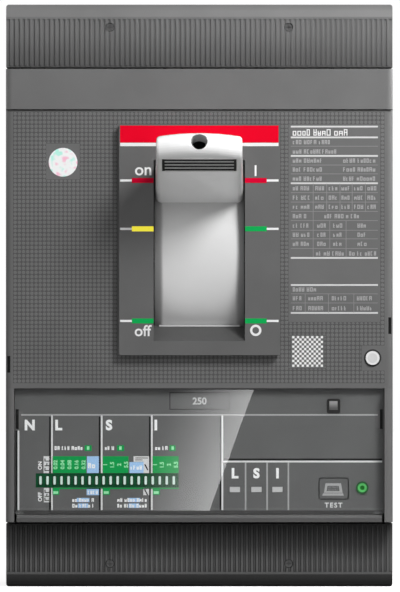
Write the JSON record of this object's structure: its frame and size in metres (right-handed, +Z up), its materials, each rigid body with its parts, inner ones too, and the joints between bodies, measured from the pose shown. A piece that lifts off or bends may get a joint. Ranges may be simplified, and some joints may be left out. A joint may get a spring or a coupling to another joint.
{
  "type": "molded case circuit breaker",
  "caption": "Three-pole molded case circuit breaker with a toggle, ribbed terminal covers and an electronic trip unit under a clear hinged cover.",
  "frame": {"origin": "centre of the rear mounting face", "axes": "+X to the right seen from the front, +Y out of the back towards the mounting plate, +Z up"},
  "size_m": [0.14, 0.1359, 0.211],
  "materials": {
    "case_plastic": "fine-grained dark grey moulding",
    "front_plastic": "dark grey moulding with a fine square grid",
    "escutcheon_plastic": "satin dark grey",
    "cover_plastic": "dark grey moulding",
    "steel": "zinc-plated steel",
    "screw_steel": "blackened steel",
    "copper": "tin-plated copper",
    "unit_plastic": "satin dark grey",
    "plug_plastic": "satin grey",
    "switch_plastic": "dark green",
    "white_plastic": "white",
    "indicator_plastic": "light grey",
    "led_plastic": "green lamp ring",
    "clear_plastic": "clear polycarbonate",
    "knob_plastic": "satin grey",
    "button_plastic": "light grey",
    "ring_plastic": "dark grey",
    "grip_plastic": "black grip inserts",
    "toggle_plastic": "silver grey satin"
  },
  "bodies": {
    "case": {"base": "case_plastic", "front_housing": "case_plastic", "front_cover": "front_plastic", "escutcheon": "escutcheon_plastic", "pivot_shaft": "steel", "line_terminal_cover": "cover_plastic", "load_terminal_cover": "cover_plastic", "line_cover_screws": "screw_steel", "load_cover_screws": "screw_steel", "line_terminal_left": "copper", "line_terminal_middle": "copper", "line_terminal_right": "copper", "load_terminal_left": "copper", "load_terminal_middle": "copper", "load_terminal_right": "copper", "line_terminal_screws": "steel", "load_terminal_screws": "steel", "trip_unit": "unit_plastic", "rating_plug": "plug_plastic", "dip_switch_block": "switch_plastic", "dip_levers": "white_plastic", "trip_indicators": "indicator_plastic", "test_port_cap": "unit_plastic", "status_led": "led_plastic", "recess_sill": "case_plastic", "trip_button_ring": "ring_plastic"},
    "toggle": {"toggle_lever": "toggle_plastic", "lever_grip": "grip_plastic", "toggle_shield": "toggle_plastic", "toggle_hub": "steel"},
    "window": {"clear_cover": "clear_plastic", "knob_collar": "ring_plastic", "cover_knob": "knob_plastic"},
    "button": {"trip_button": "button_plastic"}
  },
  "joints": [
    {"name": "toggle_swing", "type": "hinge", "parent": "case", "child": "toggle", "pos_m": [0, -0.0455, 0.0162], "axis": [1, 0, 0], "range_deg": [0, 46.5]},
    {"name": "window_hinge", "type": "hinge", "parent": "case", "child": "window", "pos_m": [0, -0.0975, -0.0781], "axis": [1, 0, 0], "range_deg": [0, 90]},
    {"name": "button_press", "type": "slide", "parent": "case", "child": "button", "axis": [0, 1, 0], "range_m": [0, 0.0025], "stiffness_N_per_m": 300}
  ]
}
